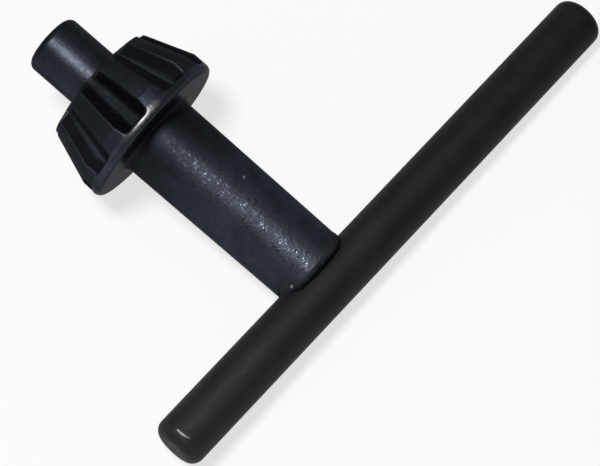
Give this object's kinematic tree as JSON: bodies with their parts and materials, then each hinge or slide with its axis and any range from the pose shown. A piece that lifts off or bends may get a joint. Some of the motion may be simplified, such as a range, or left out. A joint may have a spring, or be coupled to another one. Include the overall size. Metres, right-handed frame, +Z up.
{
  "type": "drill chuck key",
  "caption": "Black T-handled drill chuck key: round pilot, bevel teeth with a collar behind them, tapered shank and an off-centre round cross bar welded on.",
  "frame": {"origin": "middle of the key's box in plan, on the surface that it lies on", "axes": "+X along the cross bar towards its long arm, +Y towards the pilot, +Z up"},
  "size_m": [0.0788, 0.0506, 0.0213],
  "materials": {
    "key_body": "black oxide, satin, finely pitted",
    "cross_bar": "black oxide, satin",
    "weld_bead": "black oxide over weld metal, rough"
  },
  "bodies": {
    "root": {"key_body": "key_body", "cross_bar": "cross_bar", "weld_bead": "weld_bead"}
  },
  "joints": []
}
